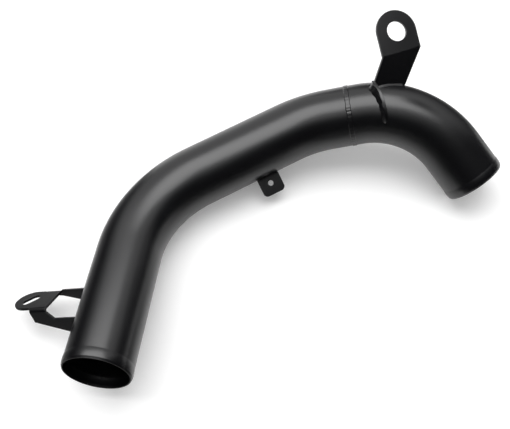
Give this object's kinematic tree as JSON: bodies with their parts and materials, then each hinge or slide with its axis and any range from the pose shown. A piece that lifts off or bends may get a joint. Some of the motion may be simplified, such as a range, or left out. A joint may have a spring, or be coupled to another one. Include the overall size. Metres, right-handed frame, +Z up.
{
  "type": "turbo boost pipe",
  "caption": "Bent, welded metal pipe with a rolled bead at each mouth, an eye bracket, a slotted bracket and a clip tab, carrying charge air between hoses.",
  "frame": {"origin": "middle of the pipe's outer box at floor level", "axes": "+Z up from the floor that the pipe lies on, +X along the long run from the inlet end towards the outlet end, +Y from the mouths towards the long run"},
  "size_m": [0.5076, 0.2086, 0.1325],
  "materials": {
    "powder_coat": "satin black powder coat"
  },
  "bodies": {
    "root": {"main_tube": "powder_coat", "outlet_elbow": "powder_coat", "girth_weld": "powder_coat", "eye_bracket": "powder_coat", "eye_strip_weld": "powder_coat", "eye_gusset_weld": "powder_coat", "clip_tab": "powder_coat", "clip_tab_weld": "powder_coat", "slot_bracket": "powder_coat", "slot_near_weld": "powder_coat", "slot_far_weld": "powder_coat"}
  },
  "joints": []
}
